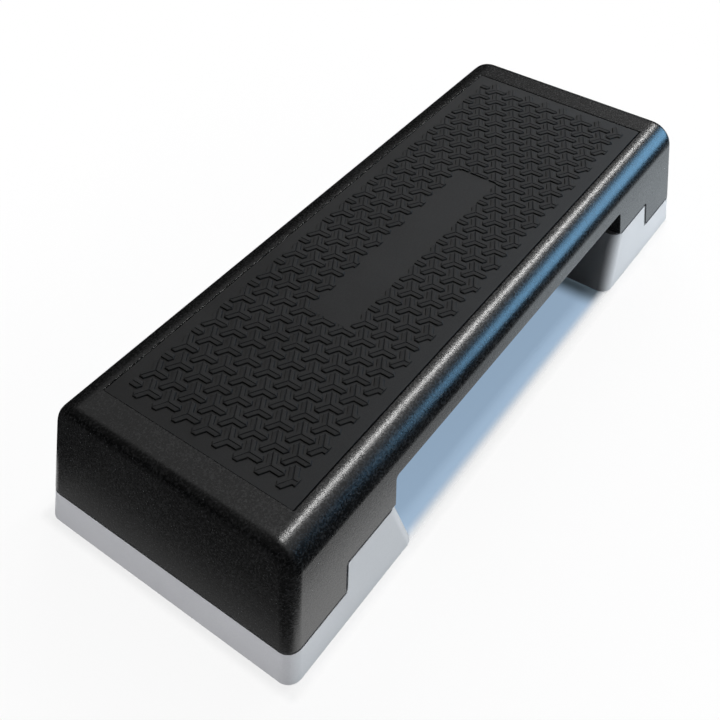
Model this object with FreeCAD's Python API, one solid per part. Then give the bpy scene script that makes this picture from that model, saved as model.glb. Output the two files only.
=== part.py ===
import FreeCAD, Part
import math
import os

# Aerobic step platform: a moulded deck with a rubber tread mat stands on two hollow risers.
# Millimetres. Origin on the floor under the centre, +X along the length, +Z up.

# Overall form: one tapered block from the lower rim to the top, shared by the deck and the risers
foot_length = 780.0        # at the risers' lower rim
foot_width = 300.0
top_height = 150.0         # highest face of the treads
end_lean = 34.5            # each end slopes in by this, from the rim to the deck's flat face
side_lean = 17.25          # the same for the long sides
bullnose_radius = 29.0     # along the long sides
end_radius = 14.0          # round the end walls: upright corners and end top edges
bevel_share = 0.65         # bevels inside the walls, as a share of the rounding
overrun = 20.0             # cutters reach this far past what they cut

# Deck
deck_wall = 3.5
deck_plate = 3.2           # floor of the mat's recess
lip_height = 107.5         # lower edge between the legs
leg_reach_lip = 169.0      # inner face of the leg at the lip, from the end of the rim
leg_reach_seam = 163.5     # the same at the upper seam
leg_corner_radius = 5.0    # where the lip meets the leg
deck_rib = 2.4
deck_rib_rise = 2.5        # lower edge of the ribs above the lip
leg_rib_clearance = 4.0    # lower edge of the ribs in the legs above the riser's upstand
deck_cross_ribs = 5        # between the legs
leg_cross_ribs = 1         # in each leg
deck_long_ribs = 3

# Stepped seam between deck and riser
seam_low = 40.0            # outer half
seam_high = 74.0           # inner half
step_reach_high = 93.5     # face of the step at the upper seam, from the end of the rim
step_reach_low = 86.0      # the same at the lower seam
step_chamfer = 2.0
step_clearance = 2.2

# Tread mat
mat_end_margin = 36.5      # from the top's unrounded edge
mat_side_margin = 27.25
mat_thickness = 3.0
mat_clearance = 0.9        # groove round the mat
tread_rise = 1.4
tread_pitch = 22.9         # between neighbouring treads
tread_gap = 2.6            # V channel between them, at the top
tread_least_share = 0.25   # smaller scraps of a tread are left out at the field's edges
tread_end_margin = 20.0    # the last column's middle is at least this far from the mat's end
tread_side_margin = 12.5   # bare strip along each long side of the mat
tread_first_row = 8.6      # from the field's edge to the first row of an odd column
panel_length = 272.0       # bare panel in the middle
panel_width = 44.0

# Riser
riser_reach_floor = 186.0  # inner face of the riser at the floor, from the end of the rim
riser_reach_seam = 167.0   # the same at the upper seam
riser_wall = 3.0
riser_plate = 3.0
riser_corner_radius = 13.0
riser_rib = 2.2
riser_rib_rise = 3.0       # lower edge of the ribs above the rim
riser_cross_ribs = 2
riser_long_ribs = 3
spigot_height = 12.0
spigot_wall = 2.6
spigot_clearance = 0.6

# Foot pads
pad_length = 30.0
pad_width = 22.0
pad_thickness = 4.0
pad_stand = 2.0            # riser rim above the floor
pad_bevel = 1.2
plug_depth = 9.0
plug_lead = 0.8            # bevel round the plug's tip
plug_clearance = 0.3
boss_wall = 2.6

top_length = foot_length - 2 * end_lean
top_width = foot_width - 2 * side_lean
mat_length = top_length - 2 * mat_end_margin
mat_width = top_width - 2 * mat_side_margin
tread_field_width = mat_width - 2 * tread_side_margin
deck_top = top_height - tread_rise
mat_seat = deck_top - mat_thickness
plate_under = mat_seat - deck_plate


def at_height(low, high, z):
    # width of the tapered block at height z, from its widths at the rim and at the flat top
    return low + (high - low) * (z - pad_stand) / (deck_top - pad_stand)


def line_at(low, z_low, high, z_high, z):
    return low + (high - low) * (z - z_low) / (z_high - z_low)


def rounded_face(points, radii, place):
    # closed outline with rounded corners; place turns (u, v) into a point in space
    edges = []
    starts = []
    ends = []
    for i, corner in enumerate(points):
        before = FreeCAD.Vector(*points[i - 1], 0) - FreeCAD.Vector(*corner, 0)
        after = FreeCAD.Vector(*points[(i + 1) % len(points)], 0) - FreeCAD.Vector(*corner, 0)
        here = FreeCAD.Vector(*corner, 0)
        if radii[i] == 0:
            starts.append(here)
            ends.append(here)
            continue
        before.normalize()
        after.normalize()
        half = before.getAngle(after) / 2
        reach = radii[i] / math.tan(half)
        inward = before + after
        inward.normalize()
        starts.append(here + before * reach)
        ends.append(here + after * reach)
        middle = here + inward * (radii[i] / math.sin(half) - radii[i])
        edges.append(Part.Arc(place(starts[-1]), place(middle), place(ends[-1])).toShape())
    for i in range(len(points)):
        edges.append(Part.makeLine(place(ends[i - 1]), place(starts[i])))
    return Part.Face(Part.Wire(Part.__sortEdges__(edges)))


def mirrored(points):
    # adds the mirror image of half an outline
    return points + [(-x, z) for x, z in reversed(points)]


def across(points, radii=None):
    # outline in length and height, carried right across the width
    reach = foot_width / 2 + overrun
    face = rounded_face(points, radii or [0] * len(points), lambda p: FreeCAD.Vector(p.x, -reach, p.y))
    return face.extrude(FreeCAD.Vector(0, 2 * reach, 0))


def block(inset, bottom, top):
    # the tapered block between two heights; moved in by inset, it has bevels in place of the roundings
    low = at_height(foot_width, top_width, bottom) / 2 - inset
    high = at_height(foot_width, top_width, top) / 2 - inset
    crown = bullnose_radius - inset
    right = [(low, bottom), (high, top)]
    radii = [0, crown]
    if inset:
        leg = crown * bevel_share
        right[1:] = [(high + (low - high) * leg / (top - bottom), top - leg), (high - leg, top)]
        radii = [0] * len(right)
    section = mirrored(right)
    reach = foot_length / 2 + overrun
    face = rounded_face(section, radii + radii[::-1], lambda p: FreeCAD.Vector(-reach, p.x, p.y))
    bar = face.extrude(FreeCAD.Vector(2 * reach, 0, 0))
    low_x = at_height(foot_length, top_length, bottom) / 2 - inset
    high_x = at_height(foot_length, top_length, top) / 2 - inset
    solid = bar.common(across([(-low_x, bottom), (low_x, bottom), (high_x, top), (-high_x, top)]))
    slant = (low_x - high_x) / (top - bottom)
    contour = []
    for edge in solid.Edges:
        middle = edge.valueAt((edge.FirstParameter + edge.LastParameter) / 2)
        on_end = abs(abs(middle.x) - (low_x - slant * (middle.z - bottom))) < deck_wall / 10
        if on_end and middle.z > bottom + deck_wall / 10:
            contour.append(edge)
    if inset:
        return solid.makeChamfer((end_radius - inset) * bevel_share, contour)
    return solid.makeFillet(end_radius, contour)


def leg_x(z):
    # inner face of the deck's leg
    return foot_length / 2 - line_at(leg_reach_seam, seam_high, leg_reach_lip, lip_height, z)


def step_x(z):
    # outer face of the riser's step
    return foot_length / 2 - line_at(step_reach_low, seam_low, step_reach_high, seam_high, z)


def riser_x(z):
    # inner face of the riser
    return foot_length / 2 - line_at(riser_reach_floor, 0, riser_reach_seam, seam_high, z)


def spread(low, high, count):
    # places of evenly spaced ribs between two walls
    return [low + (high - low) * (i + 1) / (count + 1) for i in range(count)]


def wall_at(along_x, place, thickness, span, z_from, z_to):
    # one upright rib; along_x says which way it runs
    size = (2 * span, thickness) if along_x else (thickness, 2 * span)
    corner = (-span, place - thickness / 2) if along_x else (place - thickness / 2, -span)
    return Part.makeBox(size[0], size[1], z_to - z_from, FreeCAD.Vector(*corner, z_from))


def turned(shape):
    # the same piece at the other end, turned about the upright axis
    copy = shape.copy()
    copy.rotate(FreeCAD.Vector(0, 0, 0), FreeCAD.Vector(0, 0, 1), 180)
    return copy


def make_deck():
    far = foot_length / 2 + overrun
    seam = [
        (leg_x(lip_height), lip_height),
        (leg_x(seam_high), seam_high),
        (step_x(seam_high) + step_clearance - step_chamfer, seam_high),
        (step_x(seam_high - step_chamfer) + step_clearance, seam_high - step_chamfer),
        (step_x(seam_low + step_chamfer) + step_clearance, seam_low + step_chamfer),
        (step_x(seam_low) + step_clearance + step_chamfer, seam_low),
        (far, seam_low),
        (far, top_height + overrun),
    ]
    radii = [leg_corner_radius] + [0] * (len(seam) - 1)
    body = block(0, pad_stand, deck_top).common(across(mirrored(seam), radii + radii[::-1]))
    hollow = block(deck_wall, -overrun, plate_under)
    top = plate_under + overrun
    legs = [(leg_x(top) + deck_wall, top), (leg_x(0) + deck_wall, 0), (far, 0), (far, top)]
    middle = [(leg_x(top), top), (leg_x(0), 0)]
    leg_room = hollow.common(across(legs))
    room = hollow.common(across(mirrored(middle)))
    shell = body.cut(Part.makeCompound([leg_room, turned(leg_room), room]))
    half_way = block(deck_wall / 2, -overrun, plate_under + deck_plate / 2)
    span = foot_length / 2
    width = at_height(foot_width, top_width, plate_under) / 2 - deck_wall
    lengthwise = [wall_at(True, y, deck_rib, span, 0, top) for y in spread(-width, width, deck_long_ribs)]
    gap = leg_x(plate_under)
    crosswise = [wall_at(False, x, deck_rib, span, 0, top) for x in spread(-gap, gap, deck_cross_ribs)]
    length = at_height(foot_length, top_length, plate_under) / 2 - deck_wall
    for x in spread(gap + deck_wall, length, leg_cross_ribs):
        crosswise += [wall_at(False, side * x, deck_rib, span, 0, top) for side in (-1, 1)]
    grid = lengthwise[0].multiFuse(lengthwise[1:] + crosswise).common(half_way)
    under = lip_height + deck_rib_rise
    high = seam_high + spigot_height + leg_rib_clearance
    low = seam_low + spigot_height + leg_rib_clearance
    step = step_x(seam_low) + leg_rib_clearance
    floor = [
        (leg_x(under) + deck_wall / 2, under),
        (leg_x(high) + deck_wall / 2, high),
        (step, high),
        (step, low),
        (far, low),
        (far, top),
    ]
    shell = shell.fuse(grid.common(across(mirrored(floor))))
    recess = Part.makeBox(
        mat_length + 2 * mat_clearance,
        mat_width + 2 * mat_clearance,
        mat_thickness + overrun,
        FreeCAD.Vector(-mat_length / 2 - mat_clearance, -mat_width / 2 - mat_clearance, mat_seat),
    )
    return shell.cut(recess).removeSplitter()


def tread_corners(gap, z):
    # three pointed arms; with no gap the outlines tile the field
    half = tread_pitch / 4 - gap / 2
    slope = math.tan(math.pi / 6)
    point = tread_pitch * (1 - slope / 2) - gap / 2 / math.cos(math.pi / 6)
    corners = []
    for turn in (-90, 30, 150):
        ahead = FreeCAD.Vector(math.cos(math.radians(turn)), math.sin(math.radians(turn)), 0)
        left = FreeCAD.Vector(-ahead.y, ahead.x, 0)
        corners.append(ahead * (point - half * slope) - left * half)
        corners.append(ahead * point)
        corners.append(ahead * (point - half * slope) + left * half)
        corners.append(ahead * (half * slope) + left * half)
    return [FreeCAD.Vector(c.x, c.y, z) for c in corners]


def make_tread():
    # one raised tread; its flanks meet those of its neighbours in V channels
    foot = tread_corners(0, deck_top)
    head = tread_corners(tread_gap, top_height)
    loops = [foot, head]
    loops += [[foot[i - 1], foot[i], head[i], head[i - 1]] for i in range(len(foot))]
    faces = [Part.Face(Part.makePolygon(loop + loop[:1])) for loop in loops]
    return Part.Solid(Part.Shell(faces))


def make_mat():
    corner = FreeCAD.Vector(-mat_length / 2, -mat_width / 2, mat_seat)
    plate = Part.makeBox(mat_length, mat_width, mat_thickness, corner)
    edge = tread_field_width / 2
    corner = FreeCAD.Vector(-mat_length / 2, -edge, deck_top)
    field = Part.makeBox(mat_length, tread_field_width, tread_rise, corner)
    corner = FreeCAD.Vector(-panel_length / 2, -panel_width / 2, deck_top)
    field = field.cut(Part.makeBox(panel_length, panel_width, tread_rise, corner))
    tread = make_tread()
    column_pitch = tread_pitch * math.cos(math.pi / 6)
    columns = math.floor((mat_length / 2 - tread_end_margin) / column_pitch)
    rows = math.ceil(tread_field_width / tread_pitch) + 2
    least = tread.Volume * tread_least_share
    treads = []
    for k in range(-columns, columns + 1):
        first = edge - tread_first_row + (tread_pitch / 2 if k % 2 else 0)
        for row in range(rows):
            place = FreeCAD.Vector(k * column_pitch, first - row * tread_pitch, 0)
            here = tread.translated(place).common(field)
            treads += [piece for piece in here.Solids if piece.Volume > least]
    return plate.multiFuse(treads).removeSplitter()


def pad_places():
    # foot pads stand in the outer cells of the rib grid
    width = at_height(foot_width, top_width, seam_low) / 2 - riser_wall
    y = (width + spread(-width, width, riser_long_ribs)[-1]) / 2
    cells = [riser_x(0) + riser_wall] + riser_rib_places() + [
        at_height(foot_length, top_length, seam_low) / 2 - riser_wall
    ]
    return [((cells[i] + cells[i + 1]) / 2, side * y) for i in (0, len(cells) - 2) for side in (-1, 1)]


def riser_rib_places():
    end = at_height(foot_length, top_length, seam_low) / 2 - riser_wall
    return spread(riser_x(0) + riser_wall, end, riser_cross_ribs)


def rounded_ends(shape, radius):
    # rounds the upright corners of the riser's inner wall
    slant = (riser_reach_floor - riser_reach_seam) / seam_high
    least = min(v.X - slant * v.Z for v in shape.Vertexes)
    corners = []
    for edge in shape.Edges:
        ends = edge.Vertexes
        on_wall = all(abs(v.X - slant * v.Z - least) < riser_wall / 10 for v in ends)
        if on_wall and abs(ends[0].Z - ends[-1].Z) > radius:
            corners.append(edge)
    return shape.makeFillet(radius, corners)


def riser_side(inset, bottom, drop):
    # side outline of the riser, its walls moved in by inset and its tops lowered by drop
    far = foot_length / 2 + overrun
    high = seam_high - drop
    low = seam_low - drop
    cut = step_chamfer if drop == 0 else 0
    return [
        (riser_x(bottom) + inset, bottom),
        (riser_x(high) + inset, high),
        (step_x(high) - inset - cut, high),
        (step_x(high - step_chamfer) - inset, high - step_chamfer),
        (step_x(low + step_chamfer) - inset, low + step_chamfer),
        (step_x(low) - inset + cut, low),
        (far, low),
        (far, bottom),
    ]


def make_spigot():
    # upstand that locates the riser inside the deck's leg, on both levels
    far = foot_length / 2 + overrun
    rings = []
    for level in (seam_high, seam_low):
        bottom = level - riser_plate / 2
        top = level + spigot_height
        ring = None
        for inset in (deck_wall + spigot_clearance, deck_wall + spigot_clearance + spigot_wall):
            grow = inset - deck_wall - spigot_clearance
            if level == seam_high:
                edge = step_x(level) - step_chamfer - grow
                near = leg_x(level) + inset
                room = [(near, bottom), (near, top), (edge, top), (edge, bottom)]
            else:
                edge = step_x(seam_low) - riser_wall / 2
                room = [(edge, bottom), (edge, top), (far, top), (far, bottom)]
            solid = block(inset, -overrun, plate_under).common(across(room))
            ring = solid if ring is None else ring.cut(solid)
        rings.append(ring)
    return rings


def make_riser():
    body = block(0, pad_stand, deck_top).common(across(riser_side(0, pad_stand, 0)))
    body = rounded_ends(body, riser_corner_radius)
    hollow = block(riser_wall, -overrun, plate_under).common(across(riser_side(riser_wall, -overrun, riser_plate)))
    hollow = rounded_ends(hollow, riser_corner_radius - riser_wall)
    shell = body.cut(hollow)
    width = at_height(foot_width, top_width, seam_low) / 2 - riser_wall
    span = foot_length / 2
    ribs = [wall_at(True, y, riser_rib, span, 0, seam_high) for y in spread(-width, width, riser_long_ribs)]
    ribs += [wall_at(False, x, riser_rib, span, 0, seam_high) for x in riser_rib_places()]
    half_way = block(riser_wall / 2, -overrun, plate_under)
    half_way = half_way.common(across(riser_side(riser_wall / 2, pad_stand + riser_rib_rise, riser_plate / 2)))
    grid = ribs[0].multiFuse(ribs[1:]).common(half_way)
    outer = []
    inner = []
    for x, y in pad_places():
        for group, wall, foot in ((outer, boss_wall, pad_thickness), (inner, 0, 0)):
            length = pad_length - 2 * boss_wall + 2 * wall
            depth = pad_width - 2 * boss_wall + 2 * wall
            corner = FreeCAD.Vector(x - length / 2, y - depth / 2, foot)
            group.append(Part.makeBox(length, depth, seam_high - foot, corner))
    posts = Part.makeCompound(outer).common(across(riser_side(riser_wall / 2, pad_thickness, riser_plate / 2)))
    holes = Part.makeCompound(inner).common(across(riser_side(riser_wall, 0, riser_plate)))
    shell = shell.multiFuse([grid] + posts.Solids + make_spigot())
    return shell.cut(holes).removeSplitter()


def bevelled(shape, size, level):
    # bevels the edges that lie at one level
    edges = [e for e in shape.Edges if all(abs(v.Z - level) < size / 2 for v in e.Vertexes)]
    return shape.makeChamfer(size, edges)


def make_pad(x, y):
    # rubber foot: a flange on the floor with a plug pressed into the riser's boss
    corner = FreeCAD.Vector(x - pad_length / 2, y - pad_width / 2, 0)
    sole = bevelled(Part.makeBox(pad_length, pad_width, pad_thickness, corner), pad_bevel, 0)
    length = pad_length - 2 * (boss_wall + plug_clearance)
    width = pad_width - 2 * (boss_wall + plug_clearance)
    corner = FreeCAD.Vector(x - length / 2, y - width / 2, pad_thickness - pad_bevel)
    tip = pad_thickness + plug_depth
    plug = bevelled(Part.makeBox(length, width, tip - corner.z, corner), plug_lead, tip)
    return sole.fuse(plug).removeSplitter()


parts = {"deck": make_deck(), "tread_mat": make_mat()}
riser = make_riser()
for side, place in (("right", lambda s: s), ("left", turned)):
    parts["riser_" + side] = place(riser)
    for i, (x, y) in enumerate(pad_places()):
        parts["pad_" + side + "_" + str(i + 1)] = place(make_pad(x, y))

os.makedirs("parts", exist_ok=True)
for name, shape in parts.items():
    solids = shape.Solids
    print(name, len(solids), shape.isValid(), round(sum(s.Volume for s in solids)))
    shape.exportStep("parts/" + name + ".step")
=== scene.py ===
import math
import bpy
from mathutils import Matrix, Vector


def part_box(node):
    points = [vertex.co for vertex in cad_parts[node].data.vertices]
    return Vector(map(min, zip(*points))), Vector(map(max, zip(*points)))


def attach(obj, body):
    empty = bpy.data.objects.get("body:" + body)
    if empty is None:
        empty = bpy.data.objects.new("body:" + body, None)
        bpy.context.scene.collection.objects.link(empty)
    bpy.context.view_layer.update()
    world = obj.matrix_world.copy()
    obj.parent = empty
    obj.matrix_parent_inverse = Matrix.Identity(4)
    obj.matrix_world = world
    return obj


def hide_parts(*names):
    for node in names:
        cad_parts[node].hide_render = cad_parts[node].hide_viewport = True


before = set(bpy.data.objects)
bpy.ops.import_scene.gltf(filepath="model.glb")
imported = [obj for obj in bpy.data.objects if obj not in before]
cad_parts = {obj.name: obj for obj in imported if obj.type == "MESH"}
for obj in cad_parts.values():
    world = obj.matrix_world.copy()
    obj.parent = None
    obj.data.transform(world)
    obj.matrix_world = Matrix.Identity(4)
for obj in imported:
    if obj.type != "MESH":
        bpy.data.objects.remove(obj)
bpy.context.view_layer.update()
print("frame loaded:", len(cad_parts), "nodes")

scene = bpy.context.scene
scene.view_settings.view_transform = "Standard"


# sockets as values: an expression adds the Math nodes it needs
class Val:
    def __init__(self, tree, socket=None):
        self.tree = tree
        self.socket = socket

    def node(self, kind, settings=None, inputs=None, out=0):
        made = self.tree.nodes.new(kind)
        for name, value in (settings or {}).items():
            setattr(made, name, value)
        for name, value in (inputs or {}).items():
            if isinstance(value, Val):
                self.tree.links.new(value.socket, made.inputs[name])
            else:
                made.inputs[name].default_value = value
        return Val(self.tree, made.outputs[out])

    def math(self, operation, *others):
        return self.node("ShaderNodeMath", {"operation": operation},
                         dict(enumerate((self, *others))))

    def flip(self, operation, other):     # the other value comes first
        return self.node("ShaderNodeMath", {"operation": operation}, {0: other, 1: self})

    def __add__(self, other): return self.math("ADD", other)
    def __radd__(self, other): return self.math("ADD", other)
    def __sub__(self, other): return self.math("SUBTRACT", other)
    def __rsub__(self, other): return self.flip("SUBTRACT", other)
    def __mul__(self, other): return self.math("MULTIPLY", other)
    def __rmul__(self, other): return self.math("MULTIPLY", other)
    def __truediv__(self, other): return self.math("DIVIDE", other)
    def __rtruediv__(self, other): return self.flip("DIVIDE", other)
    def __lt__(self, other): return self.math("LESS_THAN", other)
    def __gt__(self, other): return self.math("GREATER_THAN", other)
    def __abs__(self): return self.math("ABSOLUTE")

    def most(self, other):                # the greater of two
        return self.math("MAXIMUM", other)

    def ease(self, low, high, first=0.0, last=1.0):       # first at low, last at high
        return self.node("ShaderNodeMapRange", {"interpolation_type": "SMOOTHSTEP"},
                         {"Value": self, "From Min": low, "From Max": high,
                          "To Min": first, "To Max": last})

    def wrap(self, start, length):        # distance to the nearest point of a row of points
        return ((self - start) / length + 0.5).math("FRACT") * length - 0.5 * length

    def noise(self, scale, detail, rough):
        return self.node("ShaderNodeTexNoise", None,
                         {"Vector": self, "Scale": scale, "Detail": detail, "Roughness": rough})

    def parts(self):
        split = self.node("ShaderNodeSeparateXYZ", None, {"Vector": self})
        return [Val(self.tree, socket) for socket in split.socket.node.outputs]

    def blend(self, low, high):           # a colour between two; 6, 7 and 2 are colour sockets
        return self.node("ShaderNodeMix", {"data_type": "RGBA", "clamp_factor": True},
                         {"Factor": self, 6: low, 7: high}, 2)

    def mix(self, low, high):             # the same for two shaders
        return self.node("ShaderNodeMixShader", None, {0: self, 1: low, 2: high})

    def bump(self, depth, strength):
        return self.node("ShaderNodeBump", None,
                         {"Height": self, "Distance": depth, "Strength": strength})


def newFinish(name):
    finish = bpy.data.materials.new(name)
    finish.use_nodes = True
    shader = finish.node_tree.nodes["Principled BSDF"]
    place = Val(finish.node_tree).node("ShaderNodeTexCoord", out="Object")
    return finish, shader, place


def feed(shader, **sockets):
    for name, value in sockets.items():
        socket = shader.inputs[name.replace("_", " ")]
        if isinstance(value, Val):
            value.tree.links.new(value.socket, socket)
        else:
            socket.default_value = value


# where a noise runs from its low tone to its high one
cloudRange = (0.3, 0.7)
grainRange = (0.35, 0.65)
roughRange = (0.35, 0.7)

# black moulded plastic of the deck; a noise has its scale, detail and roughness
deckLook = {
    "dark": (0.0026, 0.0027, 0.0028, 1.0),
    "light": (0.0260, 0.0264, 0.0270, 1.0),
    "grain": (480.0, 3.0, 0.6),       # moulded grain, about 2 mm
    "pits": (1104.0, 2.0, 0.5),
    "patch": (9.0, 3.0, 0.55),
    "grainRange": (0.46, 0.74),
    "grainShare": 0.85,               # of the tone, and the rest is patches
    "scuffRange": (0.52, 0.72),       # faint handling marks
    "scuffRough": 0.03,
    "rough": (0.23, 0.33),
    "pitShare": 0.25,
    "grainDepth": 0.00042,
    "bump": 0.35,
    "ior": 1.75,
}


def makeDeckPlastic():
    look = deckLook
    finish, shader, place = newFinish("deckPlastic")
    grain, pits, patch = (place.noise(*look[name]) for name in ("grain", "pits", "patch"))
    scuff = patch.ease(*look["scuffRange"])
    tone = (grain.ease(*look["grainRange"]) * look["grainShare"]
            + patch.ease(*cloudRange) * (1 - look["grainShare"]))
    relief = grain * (1 - look["pitShare"]) + pits * look["pitShare"]
    feed(shader, Base_Color=tone.blend(look["dark"], look["light"]),
         Roughness=grain.ease(*roughRange, *look["rough"]) + scuff * look["scuffRough"],
         Normal=relief.bump(look["grainDepth"], look["bump"]),
         IOR=look["ior"])
    return finish


# the mat's rows of three-armed treads, for its finish and for its shape
treadLook = {
    "pitch": 0.0229,          # across the mat, from tread to tread
    "firstRow": 0.0844,       # of the middle column, from the middle of the mat
    "columns": 15,            # on each side of the middle one
    "turns": (-90, 30, 150),  # of the arms, in degrees
    "rise": 0.0014,
    "topGap": 0.0034,         # between neighbours, at the top
    "footGap": 0.0020,        # and at the ground
    "groove": 0.0006,         # half width
    "grooveDepth": 0.0005,
    "edgeDrop": 0.0002,
    "field": 0.093,           # half width
    "panel": (0.136, 0.022),  # half size of the bare panel
    "rim": 0.0004,
    "rimSteps": 3,
    "endShift": 0.0008,       # the slab lies up against the recess at one end
    "sharp": math.radians(24),
    "heightSlack": 0.00001,
    "outlineSlack": 0.00005,
    "pointSlack": 0.0001,
}
treadColumn = treadLook["pitch"] * math.sqrt(3) / 2       # along the mat, from column to column

# dark rubber of the mat, with painted shade along the fine groove in the middle of every tread
# arm and on the treads' flanks
matLook = {
    "dark": (0.0180, 0.0180, 0.0182, 1.0),
    "light": (0.0330, 0.0330, 0.0334, 1.0),
    "fine": (900.0, 2.0, 0.6),
    "cloud": (14.0, 4.0, 0.6),
    "dust": (160.0, 3.0, 0.7),
    "dustRange": (0.6, 0.8),
    "cloudShare": 0.5,
    "fineShare": 0.35,
    "dustShare": 0.25,
    "rough": (0.70, 0.80),
    "fineDepth": 0.00012,
    "bump": 0.5,
    "ior": 1.5,
    "specular": 0.3,
    # painted shade colour for the grooves and the flanks
    "grooveShadeColour": (0.005, 0.005, 0.0052, 1.0),
    "grooveShadeShare": 0.9,
    "lineFade": (0.00024, 0.00112, 1.0, 0.0),     # from the middle of the arm outwards
    "lineStart": -0.0003,                         # along the arm, from the tread's middle
    "tipGap": 0.0076,                             # from there to the next tread's tip
    "lineField": (0.298, 0.0925),                 # half size of what has lines
    "linePanel": (0.1362, 0.0222),                # and of what has none
    "lineFloor": 0.1494,
    "flankShadeFade": (0.5, 0.9, 0.85, 0.0),           # painted shade on the treads' sloping flanks
}


def within(x, y, half):
    return (abs(x) < half[0]) * (abs(y) < half[1])


# painted shade along the groove in the middle of each tread arm, within the treaded field
def paintedGrooveShade(place):
    look = matLook
    x, y, z = place.parts()
    pitch, firstRow = treadLook["pitch"], treadLook["firstRow"]
    evenX, evenY = x.wrap(0.0, 2 * treadColumn), y.wrap(firstRow, pitch)
    oddX, oddY = x.wrap(treadColumn, 2 * treadColumn), y.wrap(firstRow + pitch / 2, pitch)
    nearEven = (evenX * evenX + evenY * evenY) < (oddX * oddX + oddY * oddY)
    dx = oddX + nearEven * (evenX - oddX)         # from the nearest tread's middle
    dy = oddY + nearEven * (evenY - oddY)
    line = None
    for turn in treadLook["turns"]:
        c, s = math.cos(math.radians(turn)), math.sin(math.radians(turn))
        along = dx * c + dy * s
        aside = abs(dy * c - dx * s)
        reach = (along > look["lineStart"]).most(along < -look["tipGap"])
        arm = aside.ease(*look["lineFade"]) * reach
        line = arm if line is None else line.most(arm)
    lined = within(x, y, look["lineField"]) * (1 - within(x, y, look["linePanel"]))
    return line * lined * (z > look["lineFloor"])


def makeMatRubber():
    look = matLook
    finish, shader, place = newFinish("matRubber")
    fine, cloud, dust = (place.noise(*look[name]) for name in ("fine", "cloud", "dust"))
    tone = (cloud.ease(*cloudRange) * look["cloudShare"]
            + fine.ease(*grainRange) * look["fineShare"]
            + dust.ease(*look["dustRange"]) * look["dustShare"])
    body = tone.blend(look["dark"], look["light"])
    upright = place.node("ShaderNodeTexCoord", out="Normal").parts()[2]
    flank = upright.ease(*look["flankShadeFade"])
    # painted shade: the groove lines and the sloping flanks are darkened
    paintedShade = (paintedGrooveShade(place) * look["grooveShadeShare"]).most(flank)
    feed(shader, Base_Color=paintedShade.blend(body, look["grooveShadeColour"]),
         Roughness=cloud.ease(*cloudRange, *look["rough"]),
         Normal=fine.bump(look["fineDepth"], look["bump"]),
         IOR=look["ior"], Specular_IOR_Level=look["specular"])
    return finish


# light grey moulded plastic of the risers, with painted shade along the joints with the leg and
# beside the step's wall
riserLook = {
    "dark": (0.57, 0.577, 0.595, 1.0),
    "light": (0.65, 0.657, 0.675, 1.0),
    "grain": (620.0, 3.0, 0.6),
    "cloud": (11.0, 3.0, 0.55),
    "cloudShare": 0.6,                # of the tone, and the rest is grain
    "rough": (0.42, 0.56),
    "grainDepth": 0.00016,
    "bump": 0.45,
    "ior": 1.5,
    # painted shade colour for the joints with the leg
    "seamShade": (0.018, 0.018, 0.019, 1.0),
    "seamShadeShare": 0.92,
    "ledges": (0.03996, 0.07396),     # heights of the outer and the inner ledge
    "outerLedge": 0.305,              # its inner end, from the middle
    "stepFoot": (0.30356, 0.042),     # x and z at the foot of the step's wall
    "stepSlope": 0.2207,
    "seamWidth": 0.0010,
    "slotWidth": 0.0030,
    "slotReach": 0.0002,              # past the step's wall
}


# painted shade: a near-black line along each ledge under the leg's rim, and beside the step's
# wall where the slot is in shade
def paintedSeamShade(place):
    look = riserLook
    x, _, z = place.parts()
    low, high = look["ledges"]
    footX, footZ = look["stepFoot"]
    lowLine = (abs(x) > look["outerLedge"]) * (z > low - look["seamWidth"]) * (z < low)
    highLine = (z > high - look["seamWidth"]) * (z < high)
    wall = footX - (z - footZ) * look["stepSlope"]
    slot = (x > wall - look["slotWidth"]) * (x < wall + look["slotReach"])
    return lowLine.most(highLine).most(slot * (z > low) * (z < high))


def makeRiserPlastic():
    look = riserLook
    finish, shader, place = newFinish("riserPlastic")
    grain, cloud = place.noise(*look["grain"]), place.noise(*look["cloud"])
    tone = (cloud.ease(*cloudRange) * look["cloudShare"]
            + grain.ease(*grainRange) * (1 - look["cloudShare"]))
    body = tone.blend(look["dark"], look["light"])
    # painted shade in the joints, over the riser's own tone
    feed(shader, Base_Color=(paintedSeamShade(place) * look["seamShadeShare"]).blend(body, look["seamShade"]),
         Roughness=grain.ease(*roughRange, *look["rough"]),
         Normal=grain.bump(look["grainDepth"], look["bump"]),
         IOR=look["ior"])
    return finish


# rubber of the foot pads
padLook = {
    "dark": (0.035, 0.035, 0.036, 1.0),
    "light": (0.062, 0.062, 0.064, 1.0),
    "fine": (1400.0, 3.0, 0.6),
    "cloud": (90.0, 3.0, 0.6),
    "cloudShare": 0.6,        # of the tone, and the rest is fine grain
    "rough": (0.62, 0.8),
    "fineDepth": 0.00015,
    "bump": 0.5,
    "ior": 1.5,
}


def makePadRubber():
    look = padLook
    finish, shader, place = newFinish("padRubber")
    fine, cloud = place.noise(*look["fine"]), place.noise(*look["cloud"])
    tone = (cloud.ease(*cloudRange) * look["cloudShare"]
            + fine.ease(*grainRange) * (1 - look["cloudShare"]))
    feed(shader, Base_Color=tone.blend(look["dark"], look["light"]),
         Roughness=cloud.ease(*cloudRange, *look["rough"]),
         Normal=fine.bump(look["fineDepth"], look["bump"]),
         IOR=look["ior"])
    return finish


finishes = {
    "deck": makeDeckPlastic(),
    "tread_mat": makeMatRubber(),
    "riser": makeRiserPlastic(),
    "pad": makePadRubber(),
}


def finishFor(node):
    for start, finish in finishes.items():
        if node.startswith(start):
            return finish
    raise KeyError(node)


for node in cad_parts:
    piece = bpy.data.objects[node]
    for slot in range(len(piece.data.materials)):
        piece.data.materials[slot] = finishFor(node)
print("finishes on", len(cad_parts), "nodes")


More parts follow.
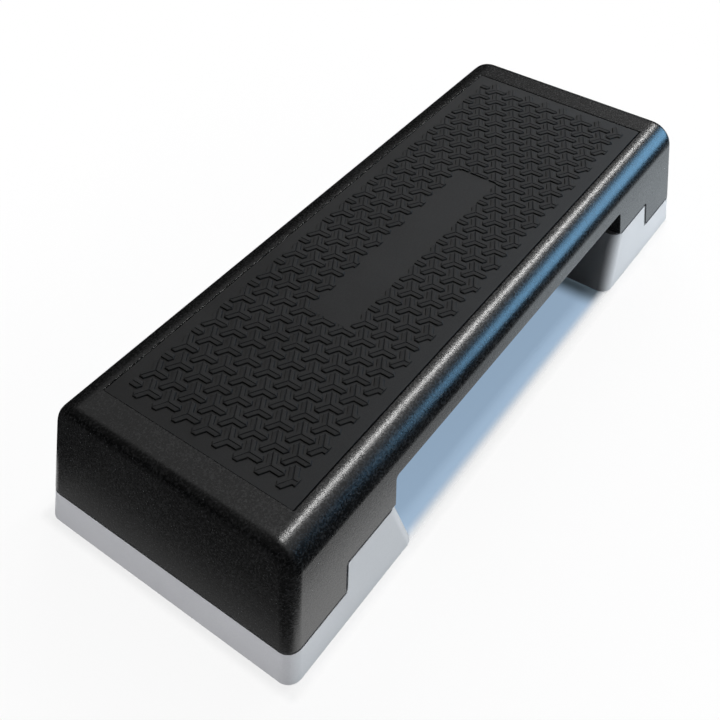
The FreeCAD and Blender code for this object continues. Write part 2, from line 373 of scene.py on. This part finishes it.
def pick(*pieces):    # selects these alone, with the first one active
    bpy.ops.object.select_all(action="DESELECT")
    for piece in pieces:
        piece.select_set(True)
    bpy.context.view_layer.objects.active = pieces[0]


def editMode(on):
    bpy.ops.object.mode_set(mode="EDIT" if on else "OBJECT")


def selectMode(kind):
    editMode(True)
    bpy.ops.mesh.select_mode(type=kind)
    editMode(False)


def selectEdges(mesh, test):
    for group in (mesh.polygons, mesh.edges, mesh.vertices):
        for part in group:
            part.select = False
    for edge in mesh.edges:
        ends = [mesh.vertices[v].co for v in edge.vertices]
        edge.select = test(*ends)


def applyModifier(piece, kind, **settings):
    pick(piece)
    bpy.ops.object.modifier_add(type=kind)
    made = piece.modifiers[-1]
    for name, value in settings.items():
        setattr(made, name, value)
    bpy.ops.object.modifier_apply(modifier=made.name)


# softened edges on the moulded shells: the CAD mesh, merged, with a fine round on each sharp edge
edgeLook = {
    "sharp": math.radians(36),
    "flat": math.radians(0.4),
    "merge": 0.00001,
    "deck": 0.0007,           # widths of the rounds
    "riser": 0.0006,
    "steps": 2,
    "faceWeight": 80,
    "rims": (0.040, 0.074),   # heights of the undersides of the legs' walls
    "rimSlack": 0.00005,
    "seam": 0.0011,           # the fine gap left over each riser
}


def softEdged(node, width, body):
    look = edgeLook
    source = bpy.data.objects[node]
    piece = source.copy()
    piece.data = source.data.copy()
    piece.parent = None
    scene.collection.objects.link(piece)
    piece.name = node + "_moulding"
    pick(piece)
    bpy.ops.mesh.customdata_custom_splitnormals_clear()
    editMode(True)
    bpy.ops.mesh.select_all(action="SELECT")
    bpy.ops.mesh.remove_doubles(threshold=look["merge"])
    bpy.ops.mesh.dissolve_limited(angle_limit=look["flat"])
    editMode(False)
    if node == "deck":
        for vertex in piece.data.vertices:
            if any(abs(vertex.co.z - rim) < look["rimSlack"] for rim in look["rims"]):
                vertex.co.z += look["seam"]
    applyModifier(piece, "BEVEL", width=width, segments=look["steps"], limit_method="ANGLE",
                  angle_limit=look["sharp"], use_clamp_overlap=False, miter_outer="MITER_ARC")
    bpy.ops.object.shade_smooth_by_angle(angle=look["sharp"])
    applyModifier(piece, "WEIGHTED_NORMAL", keep_sharp=True, weight=look["faceWeight"])
    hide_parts(node)
    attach(piece, body)


softEdged("deck", edgeLook["deck"], "platform")
softEdged("riser_right", edgeLook["riser"], "right_riser")
softEdged("riser_left", edgeLook["riser"], "left_riser")
print("moulded shells softened")


# one tread: three arms at even turns, each with a fine groove along its middle
def treadOutline(gap):    # each arm's right shoulder, tip, left shoulder and crook
    pitch = treadLook["pitch"]
    slope = math.tan(math.pi / 6)
    half = pitch / 4 - gap / 2
    tip = pitch * (1 - slope / 2) - gap / 2 / math.cos(math.pi / 6)
    shoulder = tip - half * slope
    corners = []
    for turn in treadLook["turns"]:
        ahead = Vector((math.cos(math.radians(turn)), math.sin(math.radians(turn)), 0))
        left = Vector((-ahead.y, ahead.x, 0))
        corners += [ahead * shoulder - left * half, ahead * tip,
                    ahead * shoulder + left * half, ahead * half * slope + left * half]
    return corners


def raiseTread(foot, head, ground, top):    # flanks that slope from the foot to the head
    bottom = ground - treadLook["edgeDrop"]
    bpy.ops.object.select_all(action="DESELECT")
    bpy.ops.mesh.primitive_circle_add(vertices=len(foot), radius=treadLook["pitch"],
                                      fill_type="NGON")
    tread = bpy.context.object
    for vertex, corner in zip(tread.data.vertices, foot):
        vertex.co = (corner.x, corner.y, bottom)
    editMode(True)
    bpy.ops.mesh.select_all(action="SELECT")
    bpy.ops.mesh.extrude_region_move(TRANSFORM_OT_translate={"value": (0, 0, top - bottom)})
    editMode(False)
    for vertex in tread.data.vertices:
        if vertex.co.z > (top + ground) / 2:
            flat = Vector((vertex.co.x, vertex.co.y, 0))
            nearest = min(range(len(foot)), key=lambda i: (flat - foot[i]).length)
            vertex.co = (head[nearest].x, head[nearest].y, top)
    return tread


def selectTop(mesh, top):
    for face in mesh.polygons:
        face.select = face.center.z > top - treadLook["heightSlack"]


def cutGroove(mesh, head, ground, top):
    look = treadLook
    tips = head[1::4]

    def isMiddle(point):
        return point.xy.length < look["pointSlack"] and point.z > ground

    def isTip(point):
        return any((point.xy - tip.xy).length < look["pointSlack"] for tip in tips)

    def isSpare(a, b):
        return (isMiddle(a) and not isTip(b)) or (isMiddle(b) and not isTip(a))

    selectMode("FACE")
    selectTop(mesh, top)
    editMode(True)
    bpy.ops.mesh.poke()                               # spokes from the middle to every corner
    bpy.ops.mesh.select_mode(type="EDGE")
    editMode(False)
    selectEdges(mesh, isSpare)
    editMode(True)
    bpy.ops.mesh.dissolve_edges(use_verts=False)      # three are left, one along each arm
    bpy.ops.mesh.select_mode(type="FACE")
    editMode(False)
    selectTop(mesh, top)
    editMode(True)
    bpy.ops.mesh.inset(thickness=look["groove"], use_individual=True)
    editMode(False)
    for vertex in mesh.vertices:
        if vertex.co.z < top - look["heightSlack"]:
            continue
        if isMiddle(vertex.co) or isTip(vertex.co):
            vertex.co.z -= look["grooveDepth"]
        elif min((vertex.co.xy - corner.xy).length for corner in head) < look["outlineSlack"]:
            vertex.co.z -= look["edgeDrop"]


def closeTread(mesh, ground):
    low = ground - treadLook["edgeDrop"] + treadLook["heightSlack"]
    selectMode("EDGE")
    selectEdges(mesh, lambda a, b: max(a.z, b.z) < low)
    editMode(True)
    bpy.ops.mesh.edge_face_add()
    bpy.ops.mesh.select_all(action="SELECT")
    bpy.ops.mesh.normals_make_consistent(inside=False)
    editMode(False)


def makeTread(ground, top):
    foot, head = treadOutline(treadLook["footGap"]), treadOutline(treadLook["topGap"])
    tread = raiseTread(foot, head, ground, top)
    cutGroove(tread.data, head, ground, top)
    closeTread(tread.data, ground)
    return tread


# the mat: a slab with rounded rims, and the treads on it round the bare panel
def treadPlaces():
    look = treadLook
    panelX, panelY = look["panel"]
    for k in range(-look["columns"], look["columns"] + 1):
        x = k * treadColumn
        y = look["firstRow"] + (look["pitch"] / 2 if k % 2 else 0)
        while y > -look["field"]:
            onPanel = abs(x) < panelX and abs(y) < panelY
            if not onPanel or y < -panelY / 2:        # an arm that leaves the panel stays
                yield x, y
            y -= look["pitch"]


def makeBox(name, low, high):
    bpy.ops.object.select_all(action="DESELECT")
    bpy.ops.mesh.primitive_cube_add(size=1)
    box = bpy.context.object
    box.name = name
    low, high = Vector(low), Vector(high)
    box.scale = high - low
    box.location = (low + high) / 2
    bpy.ops.object.transform_apply(location=True, rotation=True, scale=True)
    return box


def joinAll(*pieces):    # into the first one
    pick(*pieces)
    bpy.ops.object.join()
    return bpy.context.object


def layTreads(low, high, ground):
    look = treadLook
    tread = makeTread(ground, ground + look["rise"])
    copies = []
    for x, y in treadPlaces():
        copy = tread.copy()
        copy.data = tread.data.copy()
        copy.location = (x, y, 0)
        scene.collection.objects.link(copy)
        copies.append(copy)
    bpy.data.objects.remove(tread)
    print("treads laid:", len(copies))
    treads = joinAll(*copies)
    bpy.ops.object.transform_apply(location=True, rotation=True, scale=True)
    fieldY, (panelX, panelY) = look["field"], look["panel"]
    over = high.z + look["rise"]
    field = makeBox("treadField", (low.x, -fieldY, low.z), (high.x, fieldY, over))
    panel = makeBox("panelCut", (-panelX, -panelY, low.z), (panelX, panelY, over))
    for operation, cutter in (("INTERSECT", field), ("DIFFERENCE", panel)):
        applyModifier(treads, "BOOLEAN", operation=operation, object=cutter, solver="EXACT")
        bpy.data.objects.remove(cutter)
    return treads


def makeSlab(low, high, ground):
    look = treadLook
    shift = look["endShift"]
    slab = makeBox("matSlab", (low.x - shift, low.y, low.z), (high.x - shift, high.y, ground))

    def isRim(a, b):    # the one against the recess stays sharp
        return min(a.z, b.z) > ground - look["heightSlack"] and max(a.x, b.x) > 0

    selectMode("EDGE")
    selectEdges(slab.data, isRim)
    editMode(True)
    bpy.ops.mesh.bevel(offset=look["rim"], segments=look["rimSteps"], affect="EDGES")
    editMode(False)
    return slab


def makeMat():
    low, high = (Vector(corner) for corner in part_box("tread_mat"))
    ground = high.z - treadLook["rise"]
    treads = layTreads(low, high, ground)
    mat = joinAll(makeSlab(low, high, ground), treads)
    mat.name = "tread_mat_rubber"
    mat.data.materials.clear()
    mat.data.materials.append(finishes["tread_mat"])
    bpy.ops.object.shade_smooth_by_angle(angle=treadLook["sharp"])
    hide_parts("tread_mat")
    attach(mat, "platform")
    print("mat modelled:", len(mat.data.polygons), "faces")


makeMat()


# pale paper on the floor, with a painted shadow between the risers and painted reflections in
# what the walls mirror; the sets of two and four numbers go to ease
floorLook = {
    "size": 14.0,
    "foot": (0.39, 0.15),                     # half size of what stands on the floor
    "paper": (0.90, 0.91, 0.93, 1.0),
    "shade": (0.62, 0.78, 0.96, 1.0),         # the paper's colour in the deck's shadow
    "bayX": (0.212, 0.232, 1.0, 0.0),         # the bay between the risers, under the deck
    "bayY": (0.136, 0.152, 1.0, 0.0),
    # painted shadow: a glow the camera sees in the bay, in place of the deck's shadow
    "bayShadowGlow": (0.36, 0.50, 0.67, 1.0),
    "bayDeepShadow": (0.035, 0.05, 0.06, 1.0),      # painted shadow at the foot of the far riser
    "bayDeepShadowX": (0.172, 0.200),
    "bayShadowShare": 0.72,
    "bayDim": 0.9,                            # how much less of the bay the walls mirror
    "bounceShade": (0.015, 0.04, 0.065, 1.0),     # what the paper casts back, by the foot
    "bouncePaper": (0.62, 0.64, 0.67, 1.0),       # and further out
    "bounceOut": (0.0, 0.03),
    "bounceX": (0.18, 0.40, 0.3, 1.0),
    "warmGlow": (1.0, 1.0, 1.0, 1.0),         # painted reflection: the paper glows only for what the walls mirror
    "coolGlow": (0.86, 0.94, 1.0, 1.0),
    "glowX": (-0.3, 0.2),
    # painted reflection: the dark that the walls mirror elsewhere
    "dark": (0.012, 0.012, 0.013, 1.0),
    "sideOut": (0.0, 0.012),
    "sideX": (-0.42, -0.38),
    "bandOut": (0.060, 0.082, 1.0, 0.0),      # the painted reflection band beside the long sides
    "bandWider": (0.0, 0.3, 0.0, 0.045),
    "endOut": (0.02, 0.085, 0.26, 0.02),
    "whiteNear": (0.0, 0.012, 0.80, 0.93),    # how much of the white world shows through
    "whiteFar": (0.05, 0.5),
}


def makePaper():
    look = floorLook
    finish = bpy.data.materials.new("floorPaper")
    finish.use_nodes = True
    tree = finish.node_tree
    tree.nodes.clear()
    start = Val(tree)
    x, y, _ = start.node("ShaderNodeTexCoord", out="Object").parts()
    seen, gloss, shadow = (start.node("ShaderNodeLightPath", out="Is %s Ray" % kind)
                           for kind in ("Camera", "Glossy", "Shadow"))
    outX = (abs(x) - look["foot"][0]).most(0.0)
    outY = (abs(y) - look["foot"][1]).most(0.0)
    out = (outX * outX + outY * outY).math("SQRT")        # distance from the footprint
    bay = abs(x).ease(*look["bayX"]) * abs(y).ease(*look["bayY"])

    paper = bay.blend(look["paper"], look["shade"])
    bright = out.ease(*look["bounceOut"]) * abs(x).ease(*look["bounceX"])
    bounce = bright.blend(look["bounceShade"], look["bouncePaper"])
    lit = start.node("ShaderNodeBsdfDiffuse", None, {"Color": seen.blend(bounce, paper)})

    side = outY.ease(*look["sideOut"]) * x.ease(*look["sideX"])
    band = side * (outY - x.ease(*look["bandWider"])).ease(*look["bandOut"])
    ends = (1 - side) * (1 - bay * look["bayDim"]) * out.ease(*look["endOut"])
    glowNow = x.ease(*look["glowX"]).blend(look["warmGlow"], look["coolGlow"])
    glow = start.node("ShaderNodeEmission", None, {"Color": glowNow})
    dark = start.node("ShaderNodeBsdfDiffuse", None, {"Color": look["dark"]})
    # painted reflection: glossy rays see a glow in the band and at the ends, and dark elsewhere
    paperNow = gloss.mix(lit, (band + ends).mix(dark, glow))

    # painted shadow: the camera sees a glow in the bay, darker towards the far riser
    shadowGlowNow = x.ease(*look["bayDeepShadowX"]).blend(look["bayShadowGlow"], look["bayDeepShadow"])
    shadowGlow = start.node("ShaderNodeEmission", None, {"Color": shadowGlowNow})
    withBayShadow = (bay * seen * look["bayShadowShare"]).mix(paperNow, shadowGlow)

    near = (1 - bay) * out.ease(*look["whiteNear"])
    share = near + out.ease(*look["whiteFar"]) * (1 - near)
    under = start.node("ShaderNodeNewGeometry", out="Backfacing")
    passing = (share * seen).most(under).most(shadow)     # clear from below and to the lamps
    clear = start.node("ShaderNodeBsdfTransparent")
    end = tree.nodes.new("ShaderNodeOutputMaterial")
    tree.links.new(passing.mix(withBayShadow, clear).socket, end.inputs["Surface"])
    return finish


def makeFloor():
    bpy.ops.object.select_all(action="DESELECT")
    bpy.ops.mesh.primitive_plane_add(size=floorLook["size"], location=(0, 0, 0))
    floor = bpy.context.object
    floor.name = "studioFloor"
    floor.data.materials.append(makePaper())


# white to the camera, and for the light a dim sky that is bright high up and at the far end
skyLook = {
    "rise": (0.44, 0.64, 0.008, 0.28),        # by height
    "lowerFrom": (0.0, 0.15),                 # across, where the bright part comes lower
    "lowerTo": (0.25, 0.45, 0.16, 0.0),
    "alongX": (-0.2, 0.2, 0.12, 1.0),
}


def makeWorld():
    look = skyLook
    world = bpy.data.worlds.new("studio")
    scene.world = world
    world.use_nodes = True
    tree = world.node_tree
    tree.nodes.clear()
    start = Val(tree)
    x, y, z = start.node("ShaderNodeTexCoord", out="Generated").parts()
    seen = start.node("ShaderNodeLightPath", out="Is Camera Ray")
    height = z + y.ease(*look["lowerFrom"]) * y.ease(*look["lowerTo"])
    level = height.ease(*look["rise"]) * x.ease(*look["alongX"])
    back = start.node("ShaderNodeBackground", None,
                      {"Color": (1, 1, 1, 1), "Strength": level + seen * (1 - level)})
    end = tree.nodes.new("ShaderNodeOutputWorld")
    tree.links.new(back.socket, end.inputs["Surface"])


# soft lamps
lampLook = {
    "overheadStrip": {"at": (1.65, -0.327, 2.0), "to": (1.65, -0.327, 0.0),
                      "size": (2.9, 0.2), "watts": 36.0, "colour": (1.0, 0.995, 0.985),
                      "gloss": True, "diffuse": True},
    "coolSide": {"at": (2.02, -1.56, 0.77), "to": (0.0, 0.0, 0.1),
                 "size": (1.9, 1.02), "watts": 29.0, "colour": (0.29, 0.63, 1.0),
                 "gloss": True, "diffuse": False},
    "farSoft": {"at": (1.7, 0.95, 1.55), "to": (0.0, 0.0, 0.15),
                "size": (1.3, 1.3), "watts": 34.0, "colour": (1.0, 1.0, 1.0),
                "gloss": False, "diffuse": True},
    "lowSide": {"at": (1.1, -2.5, 0.085), "to": (0.0, 0.0, 0.07),
                "size": (1.6, 0.12), "watts": 56.0, "colour": (0.91, 0.965, 1.0),
                "gloss": False, "diffuse": True},
    "lowEnd": {"at": (-1.5, 0.02, 0.09), "to": (0.0, 0.0, 0.07),
               "size": (0.26, 0.12), "watts": 7.3, "colour": (0.985, 0.98, 1.0),
               "gloss": False, "diffuse": True},
}


def addToScene(name, data):
    made = bpy.data.objects.new(name, data)
    scene.collection.objects.link(made)
    return made


def makeLamps():
    for name, look in lampLook.items():
        data = bpy.data.lights.new(name, "AREA")
        data.shape = "RECTANGLE"
        data.size, data.size_y = look["size"]
        data.energy = look["watts"]
        data.color = look["colour"]
        lamp = addToScene(name, data)
        lamp.location = look["at"]
        away = Vector(look["at"]) - Vector(look["to"])
        lamp.rotation_euler = away.to_track_quat("Z", "Y").to_euler()
        lamp.visible_camera = False
        lamp.visible_glossy = look["gloss"]
        lamp.visible_diffuse = look["diffuse"]


# light for the underside, straight up, so that no upright wall takes any
underLook = {
    "strength": 1.5,
    "spread": math.radians(12),
}


def makeUnderLight():
    data = bpy.data.lights.new("underLight", "SUN")
    data.energy = underLook["strength"]
    data.angle = underLook["spread"]
    lamp = addToScene("underLight", data)
    lamp.rotation_euler = (math.pi, 0, 0)
    lamp.visible_glossy = False


makeFloor()
makeWorld()
makeLamps()
makeUnderLight()
print("stage and lamps set")


# the photograph's camera, from its straight edges; angles in degrees
cameraLook = {
    "at": (-0.61362, -0.38441, 0.76068),
    "turn": -53.937,
    "rise": 47.505,
    "roll": -0.114,
    "lens": 46.32,
    "sensor": 36.0,
    "clipStart": 0.01,
}


def makeCamera():
    look = cameraLook
    turn, rise, roll = (math.radians(look[name]) for name in ("turn", "rise", "roll"))
    back = Vector((math.sin(turn) * math.cos(rise),
                   -math.cos(turn) * math.cos(rise),
                   math.sin(rise)))
    right = Vector((math.cos(turn), math.sin(turn), 0))
    up = back.cross(right)
    side = math.cos(roll) * right + math.sin(roll) * up
    top = -math.sin(roll) * right + math.cos(roll) * up
    data = bpy.data.cameras.new("photoCamera")
    data.lens = look["lens"]
    data.sensor_width = look["sensor"]
    data.clip_start = look["clipStart"]
    camera = addToScene("photoCamera", data)
    facing = Matrix((side, top, back)).transposed().to_4x4()
    camera.matrix_world = Matrix.Translation(look["at"]) @ facing
    scene.camera = camera


makeCamera()
print("camera set")
